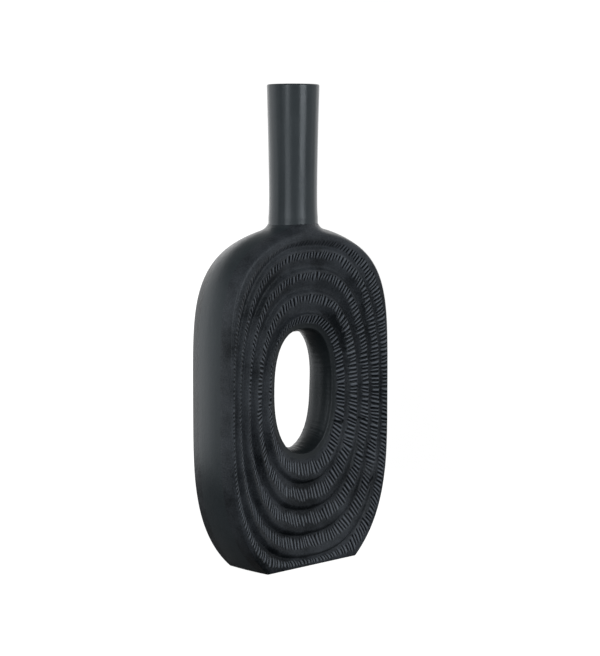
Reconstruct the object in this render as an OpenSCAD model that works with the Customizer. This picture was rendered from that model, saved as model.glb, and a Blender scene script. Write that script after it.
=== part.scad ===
// Flat ring-bodied bottle vase of black clay, built from slabs, strips and coils that are luted together.
// Millimetres. X is the width, Y the depth with the front face towards -Y, Z is up from the table.

/* [Body] */
// Width across the edge of a face
face_w = 181; // [172:1:190]
// Height of a face's top edge
face_top = 277.5; // [275:0.5:281]
// Depth from the front edge to the back edge
body_d = 48.4; // [47:0.2:52]
// Height at which the body is widest
widest_z = 132; // [125:1:140]
// How far below the table the lower curve would run on if the base weren't cut flat
lower_overrun = 22; // [18:1:26]
// Swell of the edge band beyond the faces at the sides
side_swell = 4; // [0.4:0.2:6]
// Swell of the edge band beyond the faces at the shoulder
shoulder_swell = 6.5; // [5:0.5:9]
// How far the shoulder's clay is drawn up the neck
neck_rise = 3; // [0:0.5:6]
// How far from the neck that rise has fallen to a third
neck_rise_run = 5; // [3:1:25]
// How much further down the band's lower curve would run on than the faces' does
foot_swell = -1; // [-3:0.5:6]

/* [Outline curves] */
// How late the side turns into the shoulder, where 2 is a plain oval
shoulder_power = 5; // [3:0.5:6]
// How round the shoulder's turn is, where 0.5 is an oval's
shoulder_round = 0.51; // [0.4:0.01:0.6]
// How late the side turns in towards the foot
foot_power = 3.3; // [2.5:0.1:4]
// How round that turn is
foot_round = 0.625; // [0.5:0.025:0.7]
// How flat the band's swell is across its depth, where 2 is an arc
swell_power = 1.8; // [1.6:0.1:2.4]

/* [Hole] */
// Width of the hole through the body
hole_w = 66; // [60:0.5:70]
// Height of the hole through the body
hole_h = 105; // [100:0.5:110]
// Height of the hole's centre
hole_z = 145.6; // [143:0.1:149]
// Squareness of the lower half of the hole's oval, where 2 is an ellipse
hole_n = 2.25; // [2:0.05:2.4]
// Squareness of the upper half
hole_top_n = 2.5; // [2:0.05:2.7]
// Thickness of the strip that lines the hole
hole_wall_t = 4.5; // [3.5:0.5:5]
// Depth of the lining's front edge from the middle plane
hole_edge_y = 12.8; // [12:0.2:14]
// How much narrower the hole is at mid-depth, on each side
hole_waist = 3.4; // [0:0.2:4]

/* [Face rings] */
// Half-widths of the creases between neighbouring rings, from the hole outwards
crease_half_w = [47.4, 61.2, 73.6, 84.4];
// Heights of the creases' tops
crease_top = [212, 231.5, 250, 267.5];
// Heights of the creases' bottoms
crease_bottom = [68, 46, 25, 6.5];
// Squareness of the creases' ovals
crease_n = [2.3, 2.4, 2.5, 2.6];
// Depths of the creases from the middle plane, the lining's joint first
crease_y = [13.6, 15.2, 16.4, 18.2, 20.6];
// Depths of the rings' crests from the middle plane
crest_y = [17.6, 19.2, 21, 22.8, 24.2];
// Depths of the rings' hidden inner faces from the middle plane
ring_back_y = [8, 10, 11, 13, 13];
// Place of a ring's crest on its width, from its inner crease outwards
crest_share = 0.78; // [0.6:0.02:0.9]

/* [Walls] */
// Thickness of the edge strips
wall_t = 5.5; // [4.5:0.5:6]
// Height of the joints between the side strips and the shoulder strips
strip_joint_z = 205; // [180:5:220]
// Thickness of the base slab
base_t = 8; // [6:1:10]
// Section of the coils that seal the inner corners
seam_coil_t = 4; // [3:0.5:4.5]

/* [Neck] */
// Height of the whole vase
total_h = 400; // [360:5:440]
// Radius of the rim
rim_r = 21.8; // [20.5:0.1:23]
// Radius of the neck at its narrowest
neck_r = 19.8; // [19:0.1:20.5]
// How late the neck flares towards the rim, where 1 is a straight taper
neck_flare = 1.6; // [1:0.1:2.5]
// Radius of the neck where it meets the shoulder
foot_r = 20.8; // [20.6:0.1:22]
// Radius of the neck's bore
bore_r = 14.5; // [12:0.5:15]
// Radius of the opening in the shoulder below the neck
shoulder_bore_r = 10; // [8:0.5:11]
// Height of the seat that the neck stands on
seat_z = 276; // [275:0.5:277]
// Height of the joint between the neck's foot coil and its tube
foot_joint_z = 290; // [288:1:295]

/* [Hidden] */
half_w = face_w / 2;
half_d = body_d / 2;
strip_y = ring_back_y[4];
turns = 48;
bisections = 22;
far = 400;
lower_steps = 7;
upper_steps = 14;
strip_lines = 6;
lining_lines = 6;
seat_cut_h = 20;
clay = [0.13, 0.14, 0.15];
burnished_clay = [0.19, 0.21, 0.22];
inner_clay = [0.27, 0.25, 0.24];

// How much of the swell the edge has at depth y: none at the faces, all of it in the middle.
function swell_at(y) = 1 - pow(abs(y) / half_d, swell_power);

// Half-width of the body at height z, for a share of the swell and an inset from the surface.
function upper_x(z, swell, inset) =
    let (top = face_top - widest_z + shoulder_swell * swell - inset,
        turn = max(0, 1 - pow((z - widest_z) / top, shoulder_power)))
    (half_w + side_swell * swell - inset) * pow(turn, shoulder_round);
function lower_x(z, swell, inset) =
    let (bottom = widest_z + lower_overrun + foot_swell * swell,
        turn = 1 - pow((widest_z - z) / bottom, foot_power))
    (half_w + side_swell * swell - inset) * pow(turn, foot_round);
function body_x(z, swell, inset) =
    z >= widest_z ? upper_x(z, swell, inset) : lower_x(z, swell, inset);
function body_top(swell, inset) = face_top + shoulder_swell * swell - inset;

// Rise of the shoulder at x towards the neck: none at the faces' edges, all of it in the middle.
function rise(x, swell) =
    neck_rise * sqrt(swell) * exp(-max(0, abs(x) - foot_r) / neck_rise_run);

// Heights of the stations up one side, crowded towards the base and the top.
function lower_stations(from) =
    [for (i = [0 : lower_steps]) from + (widest_z - from) * pow(i / lower_steps, 1.3)];
function upper_share(i) = pow(sin(90 * i / upper_steps), 0.55);

// One side of the outline as [x, z] points, from height "from" up to the strips' joint.
function lower_side(from, swell, inset) = concat(
    [for (z = lower_stations(from)) [lower_x(z, swell, inset), z]],
    [for (z = [(widest_z + strip_joint_z) / 2, strip_joint_z]) [upper_x(z, swell, inset), z]]);

// The rest of that side, from the joint up to the top centre.
function shoulder_side(swell, inset) =
    let (top = body_top(swell, inset))
    concat([[upper_x(strip_joint_z, swell, inset), strip_joint_z]],
        [for (i = [1 : upper_steps])
            let (z = strip_joint_z + (top - strip_joint_z) * upper_share(i),
                x = i == upper_steps ? 0 : upper_x(z, swell, inset))
            [x, z + rise(x, swell)]]);
function right_side(from, inset) =
    let (shoulder = shoulder_side(0, inset))
    concat(lower_side(from, 0, inset), [for (i = [1 : len(shoulder) - 1]) shoulder[i]]);

// A closed outline of the chamber, from the slab's top or higher.
function chamber(from, inset) =
    let (side = right_side(from, inset), n = len(side))
    concat(side, [for (i = [n - 2 : -1 : 0]) [-side[i][0], side[i][1]]]);

// Where the ray at angle a from the hole's centre leaves the body or an oval.
function in_body(x, z, swell) =
    let (level = z > strip_joint_z ? z - rise(x, swell) : z)
    z >= 0 && level <= body_top(swell, 0) && abs(x) <= body_x(level, swell, 0);
function in_oval(x, z, o) =
    let (n = z > o[2] ? o[4] : o[3])
    pow(abs(x) / o[0], n) + pow(abs(z - o[2]) / o[1], n) <= 1;
function body_reach(a, swell, lo, hi, n) =
    let (m = (lo + hi) / 2)
    n == 0 ? m
    : in_body(m * cos(a), hole_z + m * sin(a), swell) ? body_reach(a, swell, m, hi, n - 1)
    : body_reach(a, swell, lo, m, n - 1);
function oval_reach(a, o, lo, hi, n) =
    let (m = (lo + hi) / 2)
    n == 0 ? m
    : in_oval(m * cos(a), hole_z + m * sin(a), o) ? oval_reach(a, o, m, hi, n - 1)
    : oval_reach(a, o, lo, m, n - 1);
function ray(a, r) = [r * cos(a), hole_z + r * sin(a)];

// The ray nearest to each lower corner goes to the corner itself, so that the corner stays sharp.
function corner_angle() = 360 - atan2(hole_z, lower_x(0, 0, 0));
function at_corner(a) =
    min(abs(a - corner_angle()), abs(a - 540 + corner_angle())) < 180 / turns;

// Closed loops of the body and of an oval, with one point on each ray.
function body_loop(swell) =
    [for (i = [0 : turns - 1]) let (a = 360 * (i + 0.5) / turns)
        at_corner(a) ? [sign(cos(a)) * lower_x(0, swell, 0), 0]
        : ray(a, body_reach(a, swell, 0, far, bisections))];
function oval_loop(o) =
    [for (i = [0 : turns - 1]) let (a = 360 * (i + 0.5) / turns)
        ray(a, oval_reach(a, o, 0, far, bisections))];

// Ovals as [half width, half height, centre height, lower squareness, upper squareness].
function crease_oval(k) = [
    crease_half_w[k], (crease_top[k] - crease_bottom[k]) / 2,
    (crease_top[k] + crease_bottom[k]) / 2, crease_n[k], crease_n[k]];
function hole_oval(grow) =
    [hole_w / 2 + grow, hole_h / 2 + grow, hole_z, hole_n, hole_top_n];

// The six boundaries of the five rings.
boundaries = concat(
    [oval_loop(hole_oval(hole_wall_t))],
    [for (k = [0 : 3]) oval_loop(crease_oval(k))],
    [body_loop(0)]);

function between(a, b, share) = [for (i = [0 : len(a) - 1]) a[i] * (1 - share) + b[i] * share];

// A closed ring from loops of [x, z] points, each at its own depth y, in order round the section.
module swept_ring(loops, depths) {
    n = len(loops[0]);
    m = len(loops);
    points = [for (j = [0 : m - 1]) for (p = loops[j]) [p[0], depths[j], p[1]]];
    faces = [for (j = [0 : m - 1]) for (i = [0 : n - 1])
        let (j2 = (j + 1) % m, i2 = (i + 1) % n)
        [j * n + i, j * n + i2, j2 * n + i2, j2 * n + i]];
    polyhedron(points, faces, convexity = 6);
}

// Depths of the lines that make up a strip's outer face.
strip_depths = [for (j = [0 : strip_lines]) strip_y * (2 * j / strip_lines - 1)];

// A strip from its inner side, as [x, z] points, and one outer side for each of the depths.
module strip(inner, outer_sides) {
    outer = [for (j = [0 : strip_lines]) [for (p = outer_sides[j]) [p[0], strip_depths[j], p[1]]]];
    rails = concat(outer,
        [[for (p = inner) [p[0], strip_y, p[1]]]],
        [[for (p = inner) [p[0], -strip_y, p[1]]]]);
    n = len(inner);
    m = len(rails);
    points = [for (rail = rails) for (p = rail) p];
    skin = [for (j = [0 : m - 1]) for (i = [0 : n - 2])
        let (j2 = (j + 1) % m)
        [j * n + i, j2 * n + i, j2 * n + i + 1, j * n + i + 1]];
    ends = [[for (j = [m - 1 : -1 : 0]) j * n], [for (j = [0 : m - 1]) j * n + n - 1]];
    polyhedron(points, concat(skin, ends), convexity = 6);
}

// A point above the base slab is a station too, so the slab's ends match the strips.
function foot_and_side(swell, inset) =
    concat([[lower_x(0, swell, inset), 0]], lower_side(base_t, swell, inset));

// What is cut away for the neck: a flat seat, and the opening below it.
module neck_seat() {
    translate([0, 0, seat_z]) cylinder(r = foot_r, h = seat_cut_h, $fn = 96);
    translate([0, 0, seat_z - seat_cut_h]) cylinder(r = shoulder_bore_r, h = 2 * seat_cut_h, $fn = 96);
}

module right_side_strip() {
    color(burnished_clay) strip(foot_and_side(0, wall_t),
        [for (y = strip_depths) foot_and_side(swell_at(y), 0)]);
}

module right_shoulder_strip() {
    color(burnished_clay) difference() {
        strip(shoulder_side(0, wall_t), [for (y = strip_depths) shoulder_side(swell_at(y), 0)]);
        neck_seat();
    }
}

module left_side_strip() {
    mirror([1, 0, 0]) right_side_strip();
}

module left_shoulder_strip() {
    mirror([1, 0, 0]) right_shoulder_strip();
}

// A slab between the two strips' feet.
module base_slab() {
    foot = [for (z = [0, base_t]) [lower_x(z, 0, wall_t), z]];
    color(burnished_clay) rotate([90, 0, 0]) linear_extrude(2 * strip_y, center = true)
        polygon([foot[0], foot[1], [-foot[1][0], base_t], [-foot[0][0], 0]]);
}

// The hole's wall, which bulges inwards between its two edges.
module hole_lining() {
    depths = [for (j = [0 : lining_lines]) hole_edge_y * (1 - 2 * j / lining_lines)];
    bulge = [for (y = depths)
        oval_loop(hole_oval(-hole_waist * (1 - pow(y / hole_edge_y, 2))))];
    outer = oval_loop(hole_oval(hole_wall_t));
    color(burnished_clay)
        swept_ring(concat(bulge, [outer, outer]), concat(depths, [-hole_edge_y, hole_edge_y]));
}

// Ring k of the front face: it climbs from its inner crease to a crest, then drops to its outer crease.
module face_ring(k) {
    inner = boundaries[k - 1];
    outer = boundaries[k];
    crest = between(inner, outer, crest_share);
    color(clay) swept_ring(
        [inner, inner, crest, outer, outer],
        [-ring_back_y[k - 1], -crease_y[k - 1], -crest_y[k - 1], -crease_y[k], -ring_back_y[k - 1]]);
}

// The outermost ring, whose crest is the edge of the face and whose rim carries on the strips' swell.
module edge_ring() {
    inner = boundaries[4];
    mid_y = (strip_y + half_d) / 2;
    color(clay) difference() {
        swept_ring(
            [inner, inner, body_loop(0), body_loop(swell_at(mid_y)), body_loop(swell_at(strip_y))],
            [-strip_y, -crease_y[4], -half_d, -mid_y, -strip_y]);
        neck_seat();
    }
}

module front_ring(k) {
    if (k == 5) edge_ring(); else face_ring(k);
}

module back_ring(k) {
    mirror([0, 1, 0]) front_ring(k);
}

// The neck's first coil, spread where it is luted to the shoulder: upright at first, then drawn in.
module neck_foot_coil() {
    upright_z = seat_z + 6;
    draw_in = [for (i = [0 : 4])
        [foot_r - (foot_r - neck_r) * sin(90 * i / 4), upright_z + (foot_joint_z - upright_z) * i / 4]];
    color(burnished_clay) rotate_extrude($fn = 96)
        polygon(concat([[bore_r, seat_z], [foot_r, seat_z]], draw_in, [[bore_r, foot_joint_z]]));
}

// The neck widens slowly to the rim.
module neck_tube() {
    length = total_h - foot_joint_z;
    steps = 8;
    flank = [for (i = [0 : steps])
        [neck_r + (rim_r - neck_r) * pow(i / steps, neck_flare), foot_joint_z + length * i / steps]];
    color(burnished_clay) rotate_extrude($fn = 96)
        polygon(concat([[bore_r, foot_joint_z]], flank, [[bore_r, total_h]]));
}

// A coil in the corner between the edge strips, the base slab and the face.
module front_seam_coil() {
    color(inner_clay) translate([0, -strip_y, 0]) rotate([90, 0, 0])
        translate([0, 0, -seam_coil_t]) linear_extrude(seam_coil_t)
        difference() {
            polygon(chamber(base_t, wall_t));
            polygon(chamber(base_t + seam_coil_t, wall_t + seam_coil_t));
        }
}

module back_seam_coil() {
    mirror([0, 1, 0]) front_seam_coil();
}

// A coil in the corner between the hole's lining and the innermost ring.
module front_hole_seam_coil() {
    color(inner_clay) translate([0, -ring_back_y[0], 0]) rotate([90, 0, 0])
        translate([0, 0, -seam_coil_t]) linear_extrude(seam_coil_t)
        difference() {
            polygon(oval_loop(hole_oval(hole_wall_t + seam_coil_t)));
            polygon(oval_loop(hole_oval(hole_wall_t)));
        }
}

module back_hole_seam_coil() {
    mirror([0, 1, 0]) front_hole_seam_coil();
}

base_slab();
left_side_strip();
right_side_strip();
left_shoulder_strip();
right_shoulder_strip();
hole_lining();
front_ring(1);  // front_ring_1
front_ring(2);  // front_ring_2
front_ring(3);  // front_ring_3
front_ring(4);  // front_ring_4
front_ring(5);  // front_ring_5
back_ring(1);  // back_ring_1
back_ring(2);  // back_ring_2
back_ring(3);  // back_ring_3
back_ring(4);  // back_ring_4
back_ring(5);  // back_ring_5
neck_foot_coil();
neck_tube();
front_seam_coil();
back_seam_coil();
front_hole_seam_coil();
back_hole_seam_coil();
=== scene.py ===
"""Looks of a flat ring-bodied bottle vase of black clay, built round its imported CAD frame.

Lengths of the vase are in millimetres until a mesh is written; those of the studio are in metres.
X is the width, Y the depth with the front face towards -Y, and Z is up from the table.
"""

import math

import bmesh
import bpy
import numpy as np
from mathutils import Matrix, Vector


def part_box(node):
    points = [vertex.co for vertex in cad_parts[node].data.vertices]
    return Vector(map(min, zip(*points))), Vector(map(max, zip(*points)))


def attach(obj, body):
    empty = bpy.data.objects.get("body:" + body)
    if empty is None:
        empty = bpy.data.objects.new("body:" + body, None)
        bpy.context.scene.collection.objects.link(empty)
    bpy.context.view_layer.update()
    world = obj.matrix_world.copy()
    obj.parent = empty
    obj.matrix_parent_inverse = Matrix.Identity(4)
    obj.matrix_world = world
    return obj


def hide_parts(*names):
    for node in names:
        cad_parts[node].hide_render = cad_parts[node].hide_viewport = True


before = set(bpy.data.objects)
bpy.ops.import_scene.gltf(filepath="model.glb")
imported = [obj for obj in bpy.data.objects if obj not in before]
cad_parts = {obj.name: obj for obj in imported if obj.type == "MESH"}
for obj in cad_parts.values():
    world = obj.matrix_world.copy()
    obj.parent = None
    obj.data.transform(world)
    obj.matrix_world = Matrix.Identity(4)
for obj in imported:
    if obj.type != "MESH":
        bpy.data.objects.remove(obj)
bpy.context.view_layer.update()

MM = 0.001


# ---------------------------------------------------------------- dimensions

def node_box(name):
    """A CAD node's lowest and highest corners, in millimetres."""
    low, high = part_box(name)
    return np.array(low) / MM, np.array(high) / MM


# The body's outline, with the same curves as the CAD's.
SIDE_SWELL = 4.0
SHOULDER_SWELL = 6.5
FOOT_SWELL = -1.0
SWELL_POWER = 1.8
FACE_TOP = 277.5
WIDEST_Z = 132.0
LOWER_OVERRUN = 22.0
SHOULDER_POWER, SHOULDER_ROUND = 5.0, 0.51
FOOT_POWER, FOOT_ROUND = 3.3, 0.625
# Where the shoulder's clay meets the neck in a level line, and how quickly it rises to it.
NECK_LINE_Z, NECK_LINE_RUN = 286.0, 2.6
# Share of the swell over which that rise fades in from the face, and the height over which it fades in.
RISE_FADE_SHARE, RISE_FADE_HEIGHT = 0.08, 15.0

HALF_W = node_box("right_side_strip")[1][0] - SIDE_SWELL
STRIP_JOINT_Z = node_box("right_side_strip")[1][2]
HALF_D = -node_box("front_ring_5")[0][1]
STRIP_Y = node_box("right_side_strip")[1][1]
STRIP_T = 5.5

LINING_LOW, LINING_HIGH = node_box("hole_lining")
LINING_T = 4.5
HOLE_EDGE_Y = LINING_HIGH[1]
HOLE_Z = (LINING_LOW[2] + LINING_HIGH[2]) / 2
HOLE_HALF_W = LINING_HIGH[0] - LINING_T
HOLE_HALF_H = (LINING_HIGH[2] - LINING_LOW[2]) / 2 - LINING_T
# How square the oval is below and above its middle, where 2 is an ellipse.
HOLE_SQUARENESS = (2.25, 2.5)

RING_COUNT = 5
CREASE_SQUARENESS = [2.3, 2.4, 2.5, 2.6]
CREASE_WANDER = 0.25
CREASE_Y = [13.6, 14.8, 16.0, 17.8, 20.2]
CREST_Y = [-node_box(f"front_ring_{k}")[0][1] for k in range(1, RING_COUNT + 1)]
RING_BACK_Y = [-node_box(f"front_ring_{k}")[1][1] for k in range(1, RING_COUNT + 1)]

SEAT_Z = node_box("neck_foot_coil")[0][2]
FOOT_JOINT_Z = node_box("neck_foot_coil")[1][2]
FOOT_R = node_box("neck_foot_coil")[1][0]
RIM_R = node_box("neck_tube")[1][0]
TOTAL_H = node_box("neck_tube")[1][2]
NECK_R = 19.8
NECK_FLARE = 0.8
BORE_R = 14.5
SHOULDER_BORE_R = 10.0
# How far the neck's coil reaches into the pieces that it stands in.
SOCKET_OVERLAP = 0.5
# How far the cuts for the coil's socket and for the bore go past the coil's seat.
SOCKET_CUT_UP, BORE_CUT_UP, BORE_CUT_DOWN = 30.0, 10.0, 30.0


# ------------------------------------------------------------------ outlines

HALVINGS = 40


def swell_at(y):
    """The share of the edge's swell at depth y: none at the faces, all of it in the middle."""
    return 1 - (abs(y) / HALF_D) ** SWELL_POWER


def half_width(z, swell, inset=0.0):
    """Half-width of the body at heights z."""
    z = np.asarray(z, float)
    top = FACE_TOP - WIDEST_Z + SHOULDER_SWELL * swell - inset
    bottom = WIDEST_Z + LOWER_OVERRUN + FOOT_SWELL * swell
    up = np.clip((z - WIDEST_Z) / top, 0, 1)
    down = np.clip((WIDEST_Z - z) / bottom, 0, 1)
    shape = np.where(
        z >= WIDEST_Z,
        np.clip(1 - up ** SHOULDER_POWER, 0, 1) ** SHOULDER_ROUND,
        np.clip(1 - down ** FOOT_POWER, 0, 1) ** FOOT_ROUND,
    )
    return (HALF_W + SIDE_SWELL * swell - inset) * shape


def rise(x, z, y):
    """How far the shoulder's clay is drawn up towards the level line round the neck's foot."""
    share = np.clip(swell_at(y), 0, 1)
    around = np.clip(np.hypot(x, y) - FOOT_R, 0, None)
    drawn = (NECK_LINE_Z - FACE_TOP - SHOULDER_SWELL * share) * np.exp(-around / NECK_LINE_RUN)
    drawn = drawn * np.clip(share / RISE_FADE_SHARE, 0, 1)
    return drawn * np.clip((z - STRIP_JOINT_Z) / RISE_FADE_HEIGHT, 0, 1)


def ray_lengths(angles, inside):
    """How far each ray from the hole's centre goes before it leaves a shape, found by halving."""
    near = np.zeros_like(angles)
    away = np.full_like(angles, TOTAL_H)
    for _ in range(HALVINGS):
        middle = (near + away) / 2
        hit = inside(middle * np.cos(angles), HOLE_Z + middle * np.sin(angles))
        near = np.where(hit, middle, near)
        away = np.where(hit, away, middle)
    return near


def ray_points(angles, lengths):
    return np.stack([lengths * np.cos(angles), HOLE_Z + lengths * np.sin(angles)], -1)


def body_loop(angles, y):
    """Points of the body's outline at depth y, with one exactly on each lower corner."""
    swell = swell_at(y)
    top = FACE_TOP + SHOULDER_SWELL * swell

    def inside(x, z):
        level = z - rise(x, z, y)
        return (z >= 0) & (level <= top) & (np.abs(x) <= half_width(level, swell))

    points = ray_points(angles, ray_lengths(angles, inside))
    corner_x = half_width(0.0, swell) * np.ones_like(angles)
    for side in (-1, 1):
        away = np.arctan2(-HOLE_Z, side * half_width(0.0, 0.0))
        nearest = np.argmin(np.abs(np.angle(np.exp(1j * (angles - away)))))
        points[nearest] = side * corner_x[nearest], 0.0
    return points


def oval_loop(angles, half_w, half_h, middle_z, lower_squareness, upper_squareness):
    def inside(x, z):
        n = np.where(z > middle_z, upper_squareness, lower_squareness)
        return (np.abs(x) / half_w) ** n + (np.abs(z - middle_z) / half_h) ** n <= 1

    return ray_points(angles, ray_lengths(angles, inside))


def hole_loop(angles, grow=0.0):
    return oval_loop(angles, HOLE_HALF_W + grow, HOLE_HALF_H + grow, HOLE_Z, *HOLE_SQUARENESS)


def waver(angles, seed, highest=9):
    """A smooth, seeded, periodic wander of about one unit either way."""
    rng = np.random.default_rng(seed)
    total = np.zeros_like(angles)
    for n in range(2, highest + 1):
        total += rng.normal() * np.cos(n * angles + rng.uniform(0, 2 * np.pi))
    return total / math.sqrt(highest - 1) / 1.2


def boundary(k, angles, face_seed):
    """The loop between ring k and ring k + 1: 0 is the lining's joint, the last the face's edge."""
    if k == 0:
        return hole_loop(angles, LINING_T)
    if k == RING_COUNT:
        return body_loop(angles, HALF_D)
    low, high = node_box(f"front_ring_{k}")
    middle = (low[2] + high[2]) / 2
    n = CREASE_SQUARENESS[k - 1]
    loop = oval_loop(angles, high[0], (high[2] - low[2]) / 2, middle, n, n)
    out = ray_points(angles, np.ones_like(angles)) - np.array([0, HOLE_Z])
    return loop + out * CREASE_WANDER * waver(angles, face_seed + k)[:, None]


# -------------------------------------------------------------------- meshes

def write_mesh(name, points, quads, sharp=None, attributes=None):
    """A smooth-shaded object from points in millimetres. sharp picks edges by their two vertices."""
    mesh = bpy.data.meshes.new(name)
    mesh.vertices.add(len(points))
    mesh.vertices.foreach_set("co", (points * MM).astype(np.float32).ravel())
    mesh.loops.add(quads.size)
    mesh.loops.foreach_set("vertex_index", quads.astype(np.int32).ravel())
    mesh.polygons.add(len(quads))
    mesh.polygons.foreach_set("loop_start", np.arange(0, quads.size, 4, dtype=np.int32))
    mesh.update(calc_edges=True)
    mesh.polygons.foreach_set("use_smooth", np.ones(len(quads), bool))
    if sharp is not None:
        pairs = np.empty(len(mesh.edges) * 2, np.int32)
        mesh.edges.foreach_get("vertices", pairs)
        mesh.edges.foreach_set("use_edge_sharp", sharp(pairs.reshape(-1, 2)))
    for key, values in (attributes or {}).items():
        layer = mesh.attributes.new(key, "FLOAT", "POINT")
        layer.data.foreach_set("value", values.astype(np.float32).ravel())
    mesh.update()
    piece = bpy.data.objects.new(name, mesh)
    bpy.context.scene.collection.objects.link(piece)
    return piece


def tube_quads(rows, columns, turned=False):
    """Quads of a grid that closes on itself both ways, facing the other way if turned."""
    j, i = np.meshgrid(np.arange(rows), np.arange(columns), indexing="ij")
    j2, i2 = (j + 1) % rows, (i + 1) % columns
    quads = np.stack([j * columns + i, j * columns + i2, j2 * columns + i2, j2 * columns + i], -1)
    quads = quads.reshape(-1, 4)
    return quads[:, ::-1] if turned else quads


def sharp_rows(columns, rows):
    """Picks the edges that run along the given rows of a grid."""
    def pick(pairs):
        row = pairs // columns
        return (row[:, 0] == row[:, 1]) & np.isin(row[:, 0], rows)
    return pick


def cut_out(piece, radius, low_z, high_z):
    """Removes a round plug on the vase's axis from a piece."""
    bpy.ops.mesh.primitive_cylinder_add(
        vertices=128, radius=radius * MM, depth=(high_z - low_z) * MM,
        location=(0, 0, (high_z + low_z) / 2 * MM),
    )
    plug = bpy.context.object
    cut = piece.modifiers.new("cut", "BOOLEAN")
    cut.operation = "DIFFERENCE"
    cut.object = plug
    cut.solver = "EXACT"
    bpy.context.view_layer.update()
    depsgraph = bpy.context.evaluated_depsgraph_get()
    mesh = bpy.data.meshes.new_from_object(piece.evaluated_get(depsgraph))
    piece.modifiers.clear()
    piece.data = mesh
    bpy.data.objects.remove(plug)


def place(piece, slot, material, *nodes):
    """Gives a piece its material, and lets it stand for CAD nodes."""
    piece.data.materials.clear()
    piece.data.materials.append(material)
    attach(piece, "root")
    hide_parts(*nodes)


# --------------------------------------------------------------------- rings

FRONT_SEED, BACK_SEED = 1000, 2000
NOTCH_PITCH = 3.45
NOTCH_DEPTH = 1.3
NOTCH_SLANT = 0.22
# Shares of a ring's width over which a notch gets deeper at its start and shallower at its end.
NOTCH_FADE_IN, NOTCH_FADE_OUT = 0.14, 0.10
GROOVE_SHARPNESS = 1.3
RIDGE_SHARPNESS = 0.7
RIDGE_HEIGHT = 0.25
# How much shallower the notches are on the -X side.
LEFT_WEAR = 0.35
# Spacing of a ring's points along it, found from this many rays, and the rows of points of its parts.
SAMPLE_STEP = 0.5
RAY_COUNT = 2881
SLOPE_ROWS, CREST_ROWS, DROP_ROWS = 16, 4, 5
EDGE_ROWS, BAND_ROWS = 5, 6
# Share of a ring's width that the close rows at its crest take up on each side of the crest.
CREST_HALF_SHARE = 0.05
CREST_ROUND = 0.5
CREST_LIFT = 0.3
CREST_WANDER = 0.012
CREASE_SOFTNESS = 0.16
CREASE_SLACK = 0.01
POLISH_POWER = 0.7
# How convex the climb to a crest is, and the climb of the outermost ring, which ends before its edge.
CLIMB_POWER = 1.35
EDGE_CLIMB_POWER, EDGE_CLIMB_SHARE = 1.7, 0.62

# From here to NOTCH_TO, each group of three is for the bottom, the sides and the top of a ring.
# Radius of the outermost ring's edge:
EDGE_ROUND = (1.2, 1.2, 2.6)
# Shares of each ring's width, from its inner crease, at which its crest is and its notches start and end:
CREST_AT = [
    (0.86, 0.70, 0.84),
    (0.86, 0.77, 0.84),
    (0.86, 0.70, 0.82),
    (0.86, 0.68, 0.80),
    (0.90, 0.90, 0.90),
]
NOTCH_FROM = [
    (0.16, 0.03, 0.02),
    (0.12, 0.26, 0.42),
    (0.13, 0.20, 0.40),
    (0.09, 0.14, 0.40),
    (0.18, 0.16, 0.02),
]
NOTCH_TO = [
    (0.70, 0.68, 0.80),
    (0.64, 0.79, 0.83),
    (0.62, 0.72, 0.79),
    (0.60, 0.70, 0.77),
    (0.72, 0.85, 0.50),
]

# Accidents of the front face: ring, x, z, angle of the stroke, its length and width, and its depth.
GOUGES = [
    (1, 39.5, 116.5, -8, 11.0, 1.3, 1.1),
    (2, 44.5, 163.0, 65, 3.5, 1.4, 0.7),
    (4, 72.0, 62.0, 52, 13.0, 1.2, 0.9),
    (3, 63.0, 117.0, -5, 9.0, 1.0, 0.35),
]
# How much painted shade darkens the clay in the middle of a gouge.
GOUGE_PAINTED_SHADE = 0.8
# What is left of a notch's depth and of its painted ridge highlight and groove shade where it was smoothed
# away.
DEPTH_LEFT, PAINTED_LIGHT_LEFT = 0.2, 0.3
# Places where the notches were smoothed away: ring, x, z, radius.
SMOOTHED = [
    (4, 74.0, 70.0, 12.0),
    (3, 60.0, 96.0, 6.0),
    (5, -88.0, 150.0, 95.0),
    (5, -52.0, 255.0, 90.0),
    (5, 8.0, 276.0, 55.0),
    (4, -82.0, 165.0, 50.0),
    (3, -72.0, 130.0, 40.0),
]


def even_angles(k, face_seed):
    """Ray angles that are evenly spaced along the middle of ring k."""
    angles = np.linspace(0, 2 * np.pi, RAY_COUNT)
    middle = (boundary(k - 1, angles, face_seed) + boundary(k, angles, face_seed)) / 2
    steps = np.hypot(*np.diff(middle, axis=0).T)
    along = np.concatenate([[0], np.cumsum(steps)])
    count = int(along[-1] / SAMPLE_STEP)
    wanted = np.arange(count) * along[-1] / count
    return np.interp(wanted, along, angles), wanted, along[-1]


def by_height(angles, bottom, sides, top):
    """A value that turns smoothly from the bottom of a ring through its sides to its top."""
    up = np.sin(angles)
    return np.where(up < 0, sides + (bottom - sides) * up ** 2, sides + (top - sides) * up ** 2)


def smooth(t):
    """An S-curve from 0 to 1."""
    return t * t * (3 - 2 * t)


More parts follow.
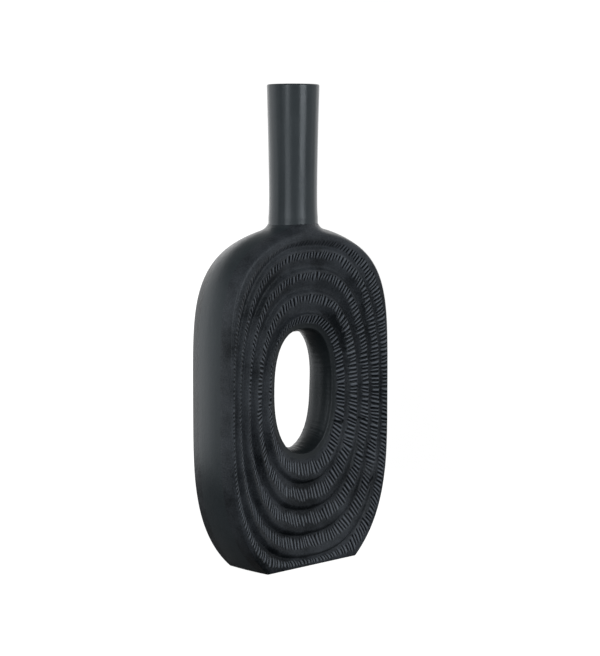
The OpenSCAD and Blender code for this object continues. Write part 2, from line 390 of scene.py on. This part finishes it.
def notch_field(k, face_seed, angles, along, length, share, width):
    """How deep the pressed notches are, and how much each point stands on a ridge between two."""
    rng = np.random.default_rng(face_seed + 20 + k)
    count = round(length / NOTCH_PITCH)
    places = (np.arange(count) + rng.uniform(-0.24, 0.24, count)) * length / count
    places = np.concatenate([[places[-1] - length], places, [places[0] + length]])
    slant = NOTCH_SLANT * waver(angles, face_seed + 40 + k, 30)
    skewed = along[None, :] - slant[None, :] * (share - 0.5) * width[None, :]
    skewed = np.clip(skewed, places[0] + 1e-6, places[-1] - 1e-6)
    after = np.searchsorted(places, skewed)
    before = after - 1
    u = (skewed - places[before]) / (places[after] - places[before])
    nearest = np.where(u < 0.5, before, after) % count
    u = np.minimum(u, 1 - u) * 2

    first = by_height(angles, *NOTCH_FROM[k - 1])
    last = by_height(angles, *NOTCH_TO[k - 1])
    start = first[None, :] + rng.uniform(-0.08, 0.08, count)[nearest]
    end = last[None, :] + rng.uniform(-0.09, 0.04, count)[nearest]
    window = smooth(np.clip((share - start) / NOTCH_FADE_IN, 0, 1))
    window = window * smooth(np.clip((end - share) / NOTCH_FADE_OUT, 0, 1))
    strength = rng.uniform(0.4, 1.15, count)[nearest]
    strength = strength * (1 - LEFT_WEAR * np.clip(-np.cos(angles), 0, 1))
    groove = (0.5 + 0.5 * np.cos(np.pi * u)) ** GROOVE_SHARPNESS
    ridge = 1 - groove ** RIDGE_SHARPNESS
    deep = NOTCH_DEPTH * strength * groove * window - RIDGE_HEIGHT * ridge * window
    # The second value is painted light: positive on ridges as a painted highlight, negative in grooves as
    # painted shade.
    return deep, (ridge - groove) * window


def ring_rows(crest):
    """Shares of a ring's width for its rows, closer together at the crest."""
    near, far = crest - CREST_HALF_SHARE, crest + CREST_HALF_SHARE
    slope = np.linspace(0, 1, SLOPE_ROWS, endpoint=False)[:, None] * near[None, :]
    top = near + np.linspace(0, 2 * CREST_HALF_SHARE, CREST_ROWS, endpoint=False)[:, None]
    drop = far + np.linspace(0, 1, DROP_ROWS)[:, None] * (1 - far)[None, :]
    return np.concatenate([slope, top, drop])


def soft_least(a, b, soft):
    """The lesser of two depths, rounded where they cross."""
    return -soft * np.logaddexp(-a / soft, -b / soft)


def softened(t):
    """A straight climb from 0 to 1 that starts off level."""
    return (np.sqrt(t * t + CREASE_SOFTNESS ** 2) - CREASE_SOFTNESS) / (
        math.sqrt(1 + CREASE_SOFTNESS ** 2) - CREASE_SOFTNESS)


def front_profile(k, share, crest):
    """Depth of ring k's face: a gentle climb to the crest, then a steep drop to the next crease."""
    climbed = np.clip(softened(share / crest[None, :]), 0, 1)
    peak = CREST_Y[k - 1] + CREST_LIFT
    climb = CREASE_Y[k - 1] + (peak - CREASE_Y[k - 1]) * (1 - (1 - climbed) ** CLIMB_POWER)
    fall = softened((1 - share) / (1 - crest[None, :]))
    drop = CREASE_Y[k] + (peak - CREASE_Y[k]) * fall
    return np.maximum(soft_least(climb, drop, CREST_ROUND), CREASE_Y[k - 1] - CREASE_SLACK)


def ring_piece(k, side):
    """One ring: side is -1 on the front face and 1 on the back."""
    face_seed = FRONT_SEED if side < 0 else BACK_SEED
    angles, along, length = even_angles(k, face_seed)
    inner = boundary(k - 1, angles, face_seed)
    outer = boundary(k, angles, face_seed)
    width = np.hypot(*(outer - inner).T)
    crest = by_height(angles, *CREST_AT[k - 1]) + CREST_WANDER * waver(angles, face_seed + 60 + k)
    edge = by_height(angles, *EDGE_ROUND)
    outermost = k == RING_COUNT
    if outermost:
        share, depth = edge_ring_face(width, edge)
    else:
        share = ring_rows(crest)
        depth = front_profile(k, share, crest)
    deep, worn = notch_field(k, face_seed, angles, along, length, share, width)
    plan = inner[None] + (outer - inner)[None] * share[..., None]
    if side < 0:
        deep, worn = with_accidents(k, plan, deep, worn)
    depth = np.minimum(depth - deep, HALF_D)
    face = np.stack([plan[..., 0], depth, plan[..., 1]], -1)
    rim = edge_ring_rim(angles, inner, outer, width, edge) if outermost else face[:0]
    front = np.concatenate([face, rim])
    last = front[-1]
    back_y = np.full(len(angles), RING_BACK_Y[k - 1])
    back_outer = np.stack([last[:, 0], back_y, last[:, 2]], -1)
    back_inner = np.stack([inner[:, 0], back_y, inner[:, 1]], -1)
    grid = np.concatenate([front, back_outer[None], back_inner[None]])
    grid[..., 1] *= side

    # The band behind the face's edge is polished more and more towards the strip that it meets.
    plain = np.zeros((2, len(angles)))
    on_rim = np.linspace(0, 1, len(rim))[:, None] ** POLISH_POWER + np.zeros(len(angles))
    polish = np.concatenate([np.zeros(worn.shape), on_rim, plain])
    # No painted highlight or shade on the rim or on the back rows.
    worn = np.concatenate([worn, np.zeros(rim.shape[:2]), plain])
    name = ("front" if side < 0 else "back") + f"_ring_{k}"
    edges = [0, len(front) - 1, len(front), len(front) + 1]
    return write_mesh(
        "clay_" + name, grid.reshape(-1, 3), tube_quads(len(grid), len(angles), side > 0),
        sharp_rows(len(angles), edges), {"worn": worn, "polish": polish},
    )


def with_accidents(k, plan, deep, worn):
    """Smooths some notches away and adds the gouges."""
    x, z = plan[..., 0], plan[..., 1]
    for ring, middle_x, middle_z, radius in SMOOTHED:
        if ring == k:
            kept = np.clip(np.hypot(x - middle_x, z - middle_z) / radius, 0, 1) ** 2
            deep = deep * (DEPTH_LEFT + (1 - DEPTH_LEFT) * kept)
            worn = worn * (PAINTED_LIGHT_LEFT + (1 - PAINTED_LIGHT_LEFT) * kept)
    for ring, middle_x, middle_z, angle, length, width, depth in GOUGES:
        if abs(ring - k) <= 1:
            turn = math.radians(angle)
            u = (x - middle_x) * math.cos(turn) + (z - middle_z) * math.sin(turn)
            v = (z - middle_z) * math.cos(turn) - (x - middle_x) * math.sin(turn)
            cut = np.exp(-(v / width) ** 2 * 2) * np.clip(1 - (2 * u / length) ** 4, 0, 1)
            deep = deep + depth * cut
            # A gouge's recess gets painted shade in place of the ridge highlight.
            worn = worn * (1 - cut) - GOUGE_PAINTED_SHADE * cut
    return deep, worn


def edge_ring_face(width, edge):
    """Rows and depths of the outermost ring's face, which climbs to a broad flat edge."""
    share = np.linspace(0, 1, SLOPE_ROWS + CREST_ROWS)[:, None] * (1 - edge / width)[None, :]
    climbed = np.clip(softened(share / EDGE_CLIMB_SHARE), 0, 1)
    depth = CREASE_Y[-1] + (HALF_D - CREASE_Y[-1]) * (1 - (1 - climbed) ** EDGE_CLIMB_POWER)
    return share, depth


def edge_ring_rim(angles, inner, outer, width, edge):
    """The rounded edge of the face and the stretch of swelling band behind it."""
    rows = []
    inward = (inner - outer) / width[:, None]
    for turn in np.linspace(0, np.pi / 2, EDGE_ROWS + 1)[1:]:
        y = HALF_D - edge * (1 - math.cos(turn))
        plan = body_loop(angles, y) + inward * (edge * (1 - math.sin(turn)))[:, None]
        rows.append(np.stack([plan[:, 0], y, plan[:, 1]], -1))
    for share in np.linspace(0, 1, BAND_ROWS + 1)[1:]:
        y = (HALF_D - edge) * (1 - share) + STRIP_Y * share
        plan = body_loop(angles, y)
        rows.append(np.stack([plan[:, 0], y, plan[:, 1]], -1))
    return np.array(rows)


# -------------------------------------------------- strips, lining and neck

STRIP_ROWS = 16
# Points along each strip, spaced evenly over a fine trace of the outline.
STRIP_STATIONS = 200
TRACE_COUNT = 4001


def strip_side(y, inset, low, high):
    """Evenly spaced points up one side of the body, from height low to high, or to the top centre."""
    swell = 0.0 if inset else swell_at(y)
    top = FACE_TOP + SHOULDER_SWELL * swell - inset
    z = low + ((high or top) - low) * np.sin(np.linspace(0, np.pi / 2, TRACE_COUNT))
    x = half_width(z, swell, inset)
    if not high:
        x[-1] = 0.0
    if not inset:
        z = z + rise(x, z, y)
    along = np.concatenate([[0], np.cumsum(np.hypot(np.diff(x), np.diff(z)))])
    wanted = np.linspace(0, along[-1], STRIP_STATIONS)
    return np.stack([np.interp(wanted, along, x), np.interp(wanted, along, z)], -1)


def strip_piece(side, name, low, high=None):
    """Part of an edge strip, side -1 on the left. A shoulder strip has no upper limit."""
    rails = []
    for y in np.linspace(-STRIP_Y, STRIP_Y, STRIP_ROWS + 1):
        plan = strip_side(y, 0.0, low, high)
        rails.append(np.stack([plan[:, 0], np.full(len(plan), y), plan[:, 1]], -1))
    for y in (STRIP_Y, -STRIP_Y):
        plan = strip_side(y, STRIP_T, low, high)
        rails.append(np.stack([plan[:, 0], np.full(len(plan), y), plan[:, 1]], -1))
    grid = np.array(rails)
    grid[..., 0] *= side
    rows, count = grid.shape[:2]
    quads = tube_quads(rows, count, side < 0).reshape(rows, count, 4)[:, :-1].reshape(-1, 4)
    piece = write_mesh(
        "clay_" + name, grid.reshape(-1, 3), quads,
        sharp_rows(count, [0, STRIP_ROWS, STRIP_ROWS + 1, STRIP_ROWS + 2]),
    )
    close_ends(piece)
    if not high:
        cut_socket(piece)
        cut_out(piece, SHOULDER_BORE_R, SEAT_Z - BORE_CUT_DOWN, SEAT_Z + BORE_CUT_UP)
    return piece


def cut_socket(piece):
    """Makes room in a piece for the coil that the neck stands on."""
    cut_out(piece, FOOT_R - SOCKET_OVERLAP, SEAT_Z, SEAT_Z + SOCKET_CUT_UP)


def close_ends(piece):
    """Closes the two open ends of a strip with a flat face each."""
    work = bmesh.new()
    work.from_mesh(piece.data)
    open_edges = [edge for edge in work.edges if edge.is_boundary]
    for cap in bmesh.ops.holes_fill(work, edges=open_edges, sides=0)["faces"]:
        cap.smooth = False
        for edge in cap.edges:
            edge.smooth = False
    bmesh.ops.recalc_face_normals(work, faces=work.faces)
    work.to_mesh(piece.data)
    work.free()


LINING_COUNT = 720
LINING_ROWS, LIP_ROWS = 16, 5
# How much narrower the hole is at mid-depth, at its bottom, sides and top.
LINING_WAIST = (3.6, 3.4, 3.0)
# How far the back lip comes in, most of all at the angle below the level on the hole's right.
BACK_LIP_IN, BACK_LIP_ANGLE, BACK_LIP_POWER = 2.4, 0.35, 1.5
LINING_LIP = 1.1
# The lining's corner behind the lip: its share of the wall's thickness, and how far it stands proud.
CORNER_SHARE, CORNER_PROUD = 0.6, 0.25
# The scraped wall: its seed, its coarse and fine roughness, and how much of that is at the sides and added
# at the bottom, starting at this sine below the level. It fades out this far from mid-depth.
SCRAPE_SEED = 77
SCRAPE_COARSE, SCRAPE_FINE = 0.12, 0.05
SCRAPE_SIDES, SCRAPE_BOTTOM, SCRAPE_START, SCRAPE_RUN = 0.35, 1.6, 0.55, 0.3
SCRAPE_DEPTH = 30.0


def lining_piece():
    """The wall of the hole: narrowest at mid-depth, with soft lips, and a back lip that comes in."""
    angles = np.linspace(0, 2 * np.pi, LINING_COUNT, endpoint=False)
    out = np.stack([np.cos(angles), np.sin(angles)], -1)
    waist = by_height(angles, *LINING_WAIST)
    back_lip = BACK_LIP_IN * np.clip(np.cos(angles + BACK_LIP_ANGLE), 0, 1) ** BACK_LIP_POWER
    flat = HOLE_EDGE_Y - LINING_LIP
    # Each row of the section has how far out it is, its depth, and whether the clay was worked by hand.
    section = [(0.0, y, 1.0) for y in np.linspace(-flat, flat, LINING_ROWS)]
    half = []
    for turn in np.linspace(0, np.pi / 2, LIP_ROWS + 1)[1:]:
        half.append((LINING_LIP * (1 - math.cos(turn)), flat + LINING_LIP * math.sin(turn), 1.0))
    half.append((LINING_T * CORNER_SHARE, HOLE_EDGE_Y + CORNER_PROUD, 0.0))
    half.append((LINING_T, CREASE_Y[0], 0.0))
    section += half + [(grow, -y, worked) for grow, y, worked in reversed(half)]
    ripple = SCRAPE_COARSE * waver(angles, SCRAPE_SEED, 60)
    ripple = ripple + SCRAPE_FINE * waver(angles, SCRAPE_SEED + 1, 160)
    at_bottom = np.clip((-np.sin(angles) - SCRAPE_START) / SCRAPE_RUN, 0, 1) ** 1.5
    ripple = ripple * (SCRAPE_SIDES + SCRAPE_BOTTOM * at_bottom)
    rows = []
    for grow, y, worked in section:
        narrower = waist * np.clip(1 - (y / flat) ** 2, 0, 1)
        narrower = narrower + worked * back_lip * np.clip(y / flat, 0, 1)
        plan = hole_loop(angles, grow) - out * narrower[:, None]
        plan = plan + out * (worked * ripple * (1 - abs(y) / SCRAPE_DEPTH))[:, None]
        rows.append(np.stack([plan[:, 0], np.full(LINING_COUNT, y), plan[:, 1]], -1))
    grid = np.array(rows)
    back_corners = [LINING_ROWS + LIP_ROWS + 1, LINING_ROWS + LIP_ROWS + 2]
    return write_mesh(
        "clay_hole_lining", grid.reshape(-1, 3), tube_quads(len(grid), LINING_COUNT, True),
        sharp_rows(LINING_COUNT, back_corners),
    )


NECK_COUNT = 256
NECK_ROWS, RIM_ROWS, BORE_ROWS, SMEAR_ROWS = 60, 5, 11, 14
NECK_SEED = 31
RIM_LIP = 1.4
NECK_WIDENING_POWER = 1.6
NECK_FLARE_RUN = 9.0
# How thick the foot coil's edge is, and how quickly the smear thins towards it.
SMEAR_EDGE, SMEAR_POWER = 4.0, 2.2
# How far from round the neck is, coarsely and finely, and how the wander turns with height.
NECK_WANDER, NECK_FINE_WANDER = 0.06, 0.035
WANDER_TURN = 47.0
# The wander leaves the bore alone, and stays this far inside the rim's CAD radius and height.
BORE_MARGIN, RIM_MARGIN, TOP_MARGIN = 0.5, 0.02, 0.04


def lathe_piece(name, section, sharp_at):
    """A round piece from a closed section of (radius, height) points, with a slight hand-made wander."""
    section = np.array(section)
    turn = np.linspace(0, 2 * np.pi, NECK_COUNT, endpoint=False)
    radius, height = section[:, 0][:, None], section[:, 1][:, None]
    wander = NECK_WANDER * waver(turn, NECK_SEED, 7)
    wander = wander + NECK_FINE_WANDER * waver(turn, NECK_SEED + 1, 26)
    outside = (section[:, 0] > BORE_R + BORE_MARGIN)[:, None]
    radius = radius + np.where(outside, wander * np.cos(height / WANDER_TURN + turn), 0)
    radius = np.minimum(radius, RIM_R - RIM_MARGIN)
    grid = np.stack([radius * np.cos(turn), radius * np.sin(turn), height + 0 * turn], -1)
    return write_mesh(
        name, grid.reshape(-1, 3), tube_quads(len(grid), NECK_COUNT), sharp_rows(NECK_COUNT, sharp_at)
    )


def neck_radius(z):
    """The neck widens slowly towards its rim, and a little where it meets its foot."""
    up = np.clip((z - FOOT_JOINT_Z) / (TOTAL_H - FOOT_JOINT_Z), 0, 1)
    widened = (RIM_R - NECK_R) * up ** NECK_WIDENING_POWER
    return NECK_R + widened + NECK_FLARE * math.exp(-(z - FOOT_JOINT_Z) / NECK_FLARE_RUN)


def neck_pieces():
    """The neck's tube with a softened rim, and its foot coil smeared out onto the shoulder."""
    side_top = TOTAL_H - RIM_LIP
    tube = [(neck_radius(z), z) for z in np.linspace(FOOT_JOINT_Z, side_top, NECK_ROWS)]
    turns = np.linspace(0, np.pi / 2, RIM_ROWS + 1)[1:]
    for t in turns:
        tube.append((RIM_R - RIM_LIP + RIM_LIP * math.cos(t), side_top + RIM_LIP * math.sin(t)))
    for r in np.linspace(RIM_R - RIM_LIP, BORE_R + RIM_LIP, RIM_ROWS + 1)[1:]:
        tube.append((r, TOTAL_H - TOP_MARGIN))
    for t in turns:
        tube.append((BORE_R + RIM_LIP - RIM_LIP * math.sin(t), side_top + RIM_LIP * math.cos(t)))
    for z in np.linspace(side_top, FOOT_JOINT_Z, BORE_ROWS + 1)[1:]:
        tube.append((BORE_R, z))

    foot = [(BORE_R, SEAT_Z), (FOOT_R, SEAT_Z)]
    top_r = neck_radius(FOOT_JOINT_Z)
    edge_z = SEAT_Z + SMEAR_EDGE
    for t in np.linspace(0, 1, SMEAR_ROWS):
        radius = top_r + (FOOT_R - top_r) * (1 - t) ** SMEAR_POWER
        foot.append((radius, edge_z + (FOOT_JOINT_Z - edge_z) * t))
    foot.append((BORE_R, FOOT_JOINT_Z))
    return (
        lathe_piece("clay_neck_tube", tube, [0, len(tube) - 1]),
        lathe_piece("clay_neck_foot", foot, [0, 1, len(foot) - 2, len(foot) - 1]),
    )


# ----------------------------------------------------------------- materials

def node(tree, kind, **settings):
    made = tree.nodes.new(kind)
    for key, value in settings.items():
        if key in made.inputs:
            made.inputs[key].default_value = value
        else:
            setattr(made, key, value)
    return made


def scaled(tree, coordinates, scale, rotation=(0, 0, 0)):
    mapping = node(tree, "ShaderNodeMapping", Scale=scale, Rotation=rotation)
    tree.links.new(coordinates, mapping.inputs["Vector"])
    return mapping.outputs["Vector"]


def noise(tree, vector, scale, detail=4.0, roughness=0.6):
    made = node(tree, "ShaderNodeTexNoise", Scale=scale, Detail=detail, Roughness=roughness)
    tree.links.new(vector, made.inputs["Vector"])
    return made.outputs["Fac"]


def ramp(tree, value, low, high, start, end):
    made = node(tree, "ShaderNodeMapRange")
    made.inputs["From Min"].default_value = low
    made.inputs["From Max"].default_value = high
    made.inputs["To Min"].default_value = start
    made.inputs["To Max"].default_value = end
    tree.links.new(value, made.inputs["Value"])
    return made.outputs["Result"]


def maths(tree, operation, a, b):
    made = node(tree, "ShaderNodeMath", operation=operation)
    for socket, value in zip(made.inputs, (a, b)):
        if isinstance(value, (int, float)):
            socket.default_value = value
        else:
            tree.links.new(value, socket)
    return made.outputs[0]


BURNISHED_SHINE, BURNISHED_ROUGHNESS = 0.36, 0.32
CLAY_IOR = 1.5
CLAY_SPECULAR_TINT = (0.87, 0.94, 1.0, 1)
BUMP_DISTANCE = 0.0004


def clay_material(name, dark, light, roughness, shine, grain, streaks, painted_light_share=0):
    """Reduction-fired black clay: cloudy colour, fine grain, strokes of the burnishing stone.

    Given a share, it reads two attributes: one lightens the notch ridges as a painted highlight and
    darkens grooves and gouges as painted shade, and polish turns it burnished.
    """
    material = bpy.data.materials.new(name)
    material.use_nodes = True
    tree = material.node_tree
    shader = tree.nodes["Principled BSDF"]
    position = node(tree, "ShaderNodeTexCoord").outputs["Object"]

    clouds = noise(tree, position, 22.0, 5.0, 0.62)
    specks = noise(tree, position, 900.0, 2.0, 0.5)
    strokes = noise(tree, scaled(tree, position, (260.0, 260.0, 9.0)), 1.0, 3.0, 0.55)
    pits = noise(tree, position, 420.0, 3.0, 0.6)

    tone = maths(tree, "MULTIPLY", clouds, 0.7)
    tone = maths(tree, "ADD", tone, maths(tree, "MULTIPLY", specks, 0.3))
    gloss = maths(tree, "MULTIPLY", clouds, 0.5)
    gloss = maths(tree, "ADD", gloss, maths(tree, "MULTIPLY", strokes, 0.5))
    matt = ramp(tree, gloss, 0.3, 0.7, roughness - 0.06, roughness + 0.08)
    shader.inputs["Specular IOR Level"].default_value = shine
    if painted_light_share:
        # Painted highlight on notch ridges and painted shade in grooves and gouges, added to the clay's
        # tone.
        worn = node(tree, "ShaderNodeAttribute", attribute_name="worn").outputs["Fac"]
        tone = maths(tree, "ADD", tone, maths(tree, "MULTIPLY", worn, painted_light_share))
        polish = node(tree, "ShaderNodeAttribute", attribute_name="polish").outputs["Fac"]
        smoother = maths(tree, "MULTIPLY", polish, roughness - BURNISHED_ROUGHNESS)
        matt = maths(tree, "SUBTRACT", matt, smoother)
        polished_shine = ramp(tree, polish, 0.0, 1.0, shine, BURNISHED_SHINE)
        tree.links.new(polished_shine, shader.inputs["Specular IOR Level"])
    tree.links.new(matt, shader.inputs["Roughness"])

    colours = node(tree, "ShaderNodeValToRGB")
    colours.color_ramp.elements[0].position = 0.4
    colours.color_ramp.elements[0].color = (*dark, 1)
    colours.color_ramp.elements[1].position = 0.95
    colours.color_ramp.elements[1].color = (*light, 1)
    tree.links.new(tone, colours.inputs["Fac"])
    tree.links.new(colours.outputs["Color"], shader.inputs["Base Color"])

    height = maths(tree, "MULTIPLY", pits, grain)
    height = maths(tree, "ADD", height, maths(tree, "MULTIPLY", strokes, streaks))
    bump = node(tree, "ShaderNodeBump", Strength=1.0, Distance=BUMP_DISTANCE)
    tree.links.new(height, bump.inputs["Height"])
    tree.links.new(bump.outputs["Normal"], shader.inputs["Normal"])
    shader.inputs["IOR"].default_value = CLAY_IOR
    shader.inputs["Specular Tint"].default_value = CLAY_SPECULAR_TINT
    return material


# The carved clay's colour carries a painted highlight on the notch ridges and painted shade in grooves and
# gouges.
carved = clay_material(
    "carved_clay", (0.001, 0.002, 0.003), (0.076, 0.086, 0.100),
    roughness=0.42, shine=0.15, grain=0.55, streaks=0.10, painted_light_share=0.62,
)
burnished = clay_material(
    "burnished_clay", (0.016, 0.021, 0.024), (0.032, 0.040, 0.045),
    roughness=BURNISHED_ROUGHNESS, shine=BURNISHED_SHINE, grain=0.22, streaks=0.22,
)
# The hole's wall: scraped clay in roughness and grain, with its colour made darker than the burnished clay
# as painted shade inside the hole.
scraped_shaded = clay_material(
    "scraped_clay", (0.003, 0.005, 0.006), (0.012, 0.015, 0.017),
    roughness=0.38, shine=0.30, grain=0.40, streaks=0.10,
)
rough = clay_material(
    "rough_clay", (0.014, 0.014, 0.014), (0.040, 0.038, 0.036),
    roughness=0.75, shine=0.30, grain=1.20, streaks=0.0,
)


# ------------------------------------------------------------------ assembly

for face_side in (-1, 1):
    for ring in range(1, RING_COUNT + 1):
        made = ring_piece(ring, face_side)
        cad_name = made.name[len("clay_"):]
        if ring == RING_COUNT:
            cut_socket(made)
        place(made, "black_clay", carved, cad_name)

for hand, which in ((-1, "left"), (1, "right")):
    lower, upper = f"{which}_side_strip", f"{which}_shoulder_strip"
    place(strip_piece(hand, lower, 0.0, STRIP_JOINT_Z), "burnished_clay", burnished, lower)
    place(strip_piece(hand, upper, STRIP_JOINT_Z), "burnished_clay", burnished, upper)
# The hole's wall takes the clay whose darker colour is painted shade.
place(lining_piece(), "burnished_clay", scraped_shaded, "hole_lining")
neck_tube, neck_foot = neck_pieces()
place(neck_tube, "burnished_clay", burnished, "neck_tube")
place(neck_foot, "burnished_clay", burnished, "neck_foot_coil")
for hidden in ("base_slab", "front_seam_coil", "back_seam_coil",
               "front_hole_seam_coil", "back_hole_seam_coil"):
    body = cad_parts[hidden]
    body.data.materials.clear()
    body.data.materials.append(rough)


# -------------------------------------------------------------------- studio

# Lengths from here on are in metres.
CAMERA_AZIMUTH = math.radians(43.88)
CAMERA_DISTANCE = 1.48923
CAMERA_HEIGHT = 0.3447
CAMERA_YAW = math.radians(0.22)
CAMERA_PITCH = math.radians(5.63)
FOCAL_PIXELS = 1788.4
IMAGE_HEIGHT = 656


def add_camera():
    """The photo's view. The picture is upright, so the sensor's width lies along its height."""
    data = bpy.data.cameras.new("camera")
    data.sensor_width = 36.0
    data.lens = FOCAL_PIXELS * data.sensor_width / IMAGE_HEIGHT
    camera = bpy.data.objects.new("camera", data)
    bpy.context.scene.collection.objects.link(camera)
    turn = CAMERA_AZIMUTH + CAMERA_YAW
    level = math.cos(CAMERA_PITCH)
    forward = Vector((math.sin(turn) * level, math.cos(turn) * level, -math.sin(CAMERA_PITCH)))
    right = Vector((math.cos(turn), -math.sin(turn), 0))
    up = right.cross(forward)
    camera.matrix_world = Matrix((
        (right.x, up.x, -forward.x, -CAMERA_DISTANCE * math.sin(CAMERA_AZIMUTH)),
        (right.y, up.y, -forward.y, -CAMERA_DISTANCE * math.cos(CAMERA_AZIMUTH)),
        (right.z, up.z, -forward.z, CAMERA_HEIGHT),
        (0, 0, 0, 1),
    ))
    bpy.context.scene.camera = camera


def direction(azimuth, elevation):
    """A unit vector from the vase. Azimuth 0 is in front of the face and 90 at +X."""
    a, e = math.radians(azimuth), math.radians(elevation)
    return Vector((math.sin(a) * math.cos(e), -math.cos(a) * math.cos(e), math.sin(e)))


def add_light(name, azimuth, elevation, distance, size, power):
    """A soft box that looks at the middle of the vase."""
    data = bpy.data.lights.new(name, "AREA")
    data.shape = "RECTANGLE"
    data.size, data.size_y = size
    data.energy = power
    light = bpy.data.objects.new(name, data)
    bpy.context.scene.collection.objects.link(light)
    target = Vector((0, 0, TOTAL_H * MM / 2))
    away = direction(azimuth, elevation)
    light.location = target + away * distance
    light.rotation_euler = away.to_track_quat("Z", "Y").to_euler()


FLOOR_RADIUS = 0.45
FLOOR_GLOW = 0.95


def add_floor():
    """A round of pale table that glows white for the camera and is dim for everything else."""
    bpy.ops.mesh.primitive_circle_add(
        vertices=96, radius=FLOOR_RADIUS, fill_type="NGON", location=(0, 0, 0),
    )
    floor = bpy.context.object
    floor.name = "floor"
    material = bpy.data.materials.new("pale_floor")
    material.use_nodes = True
    shader = material.node_tree.nodes["Principled BSDF"]
    shader.inputs["Base Color"].default_value = (0.22, 0.22, 0.22, 1)
    shader.inputs["Roughness"].default_value = 0.9
    shader.inputs["Specular IOR Level"].default_value = 0.1
    shader.inputs["Emission Color"].default_value = (1, 1, 1, 1)
    seen = node(material.node_tree, "ShaderNodeLightPath").outputs["Is Camera Ray"]
    glow = maths(material.node_tree, "MULTIPLY", seen, FLOOR_GLOW)
    material.node_tree.links.new(glow, shader.inputs["Emission Strength"])
    floor.data.materials.append(material)


WORLD_BASE = 0.05
WORLD_LOBES = [
    # azimuth, elevation, cosine at which it starts, cosine at which it is full, strength
    (-38, 5, 0.70, 0.94, 0.5),
    (74, 5, 0.45, 0.90, 0.75),
    (128, -6, 0.55, 0.90, 0.9),
    (-168, -6, 0.48, 0.95, 1.45),
    (-118, 0, 0.72, 0.95, 0.4),
    (0, 90, 0.15, 0.75, 0.12),
]


def add_world():
    """A room that is white for the camera. The vase sees it as dim, with soft panels on all sides."""
    world = bpy.data.worlds.new("studio")
    world.use_nodes = True
    tree = world.node_tree
    background = tree.nodes["Background"]
    view = node(tree, "ShaderNodeTexCoord").outputs["Generated"]
    total = WORLD_BASE
    for azimuth, elevation, start, full, strength in WORLD_LOBES:
        dot = node(tree, "ShaderNodeVectorMath", operation="DOT_PRODUCT")
        tree.links.new(view, dot.inputs[0])
        dot.inputs[1].default_value = direction(azimuth, elevation)
        lobe = node(tree, "ShaderNodeMapRange", interpolation_type="SMOOTHSTEP")
        lobe.inputs["From Min"].default_value = start
        lobe.inputs["From Max"].default_value = full
        lobe.inputs["To Max"].default_value = strength
        tree.links.new(dot.outputs["Value"], lobe.inputs["Value"])
        total = maths(tree, "ADD", lobe.outputs["Result"], total)
    seen = node(tree, "ShaderNodeLightPath").outputs["Is Camera Ray"]
    tree.links.new(maths(tree, "MAXIMUM", total, seen), background.inputs["Strength"])
    background.inputs["Color"].default_value = (1, 1, 1, 1)
    bpy.context.scene.world = world


add_camera()
add_floor()
add_world()
LIGHTS = [
    # name, azimuth, elevation, distance, size, power
    ("right_box", 0, 18, 2.0, (0.62, 1.5), 23),
    ("left_box", -70, 16, 2.2, (0.8, 1.6), 16),
]
for light in LIGHTS:
    add_light(*light)
bpy.context.scene.view_settings.view_transform = "Standard"
